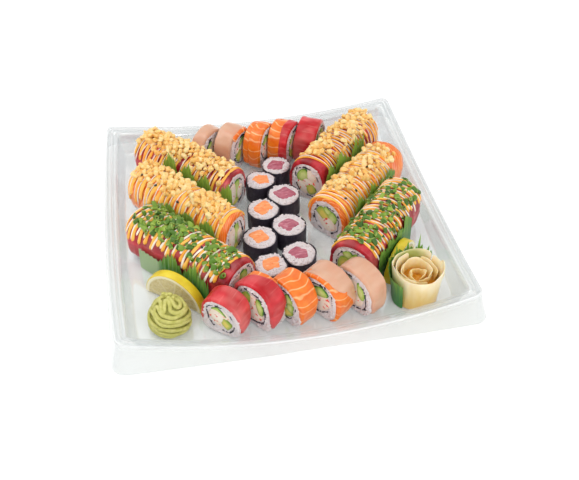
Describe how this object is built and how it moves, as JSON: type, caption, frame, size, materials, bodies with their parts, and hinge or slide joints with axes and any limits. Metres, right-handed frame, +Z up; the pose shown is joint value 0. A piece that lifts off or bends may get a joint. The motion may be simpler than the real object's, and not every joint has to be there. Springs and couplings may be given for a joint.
{
  "type": "takeaway sushi tray",
  "caption": "Square clear takeaway tray with upturned corners and a flared skirt, filled with dressed sushi rolls, sliced rolls, small seaweed rolls, wasabi, ginger and lemon",
  "frame": {"origin": "middle of the tray's underside, on the table", "axes": "+X right, +Y back, +Z up; the front row of slices and the wasabi are at -Y"},
  "size_m": [0.3164, 0.3164, 0.0574],
  "materials": {
    "clear_plastic": "clear glossy thermoformed sheet",
    "crunch_dressing": "crisp batter nuggets over thick sauce on fish and rice",
    "scallion_dressing": "chopped scallion over thick sauce on fish and rice",
    "tuna": "moist raw tuna on rice",
    "salmon": "moist raw salmon on rice",
    "white_fish": "moist raw white fish on rice",
    "seaweed": "dried seaweed sheet round rice",
    "plastic_grass": "thin glossy green film",
    "lemon": "waxy lemon peel",
    "wasabi": "smooth damp paste",
    "pickled_ginger": "wet pickled ginger"
  },
  "bodies": {
    "root": {"tray": "clear_plastic", "roll_left_back": "crunch_dressing", "roll_left_mid": "crunch_dressing", "roll_left_front": "scallion_dressing", "roll_right_back": "crunch_dressing", "roll_right_mid": "crunch_dressing", "roll_right_front": "scallion_dressing", "slice_front_1": "tuna", "slice_front_2": "tuna", "slice_front_3": "salmon", "slice_front_4": "white_fish", "slice_front_5": "white_fish", "slice_back_1": "white_fish", "slice_back_2": "white_fish", "slice_back_3": "salmon", "slice_back_4": "salmon", "slice_back_5": "tuna", "maki_salmon_1": "seaweed", "maki_salmon_2": "seaweed", "maki_salmon_3": "seaweed", "maki_salmon_4": "seaweed", "maki_tuna_1": "seaweed", "maki_tuna_2": "seaweed", "maki_tuna_3": "seaweed", "maki_tuna_4": "seaweed", "grass_left_back": "plastic_grass", "grass_left_mid": "plastic_grass", "grass_left_front": "plastic_grass", "grass_right_back": "plastic_grass", "grass_right_mid": "plastic_grass", "grass_right_front": "plastic_grass", "grass_ginger": "plastic_grass", "lemon_left": "lemon", "lemon_right": "lemon", "wasabi": "wasabi", "ginger": "pickled_ginger"}
  },
  "joints": []
}
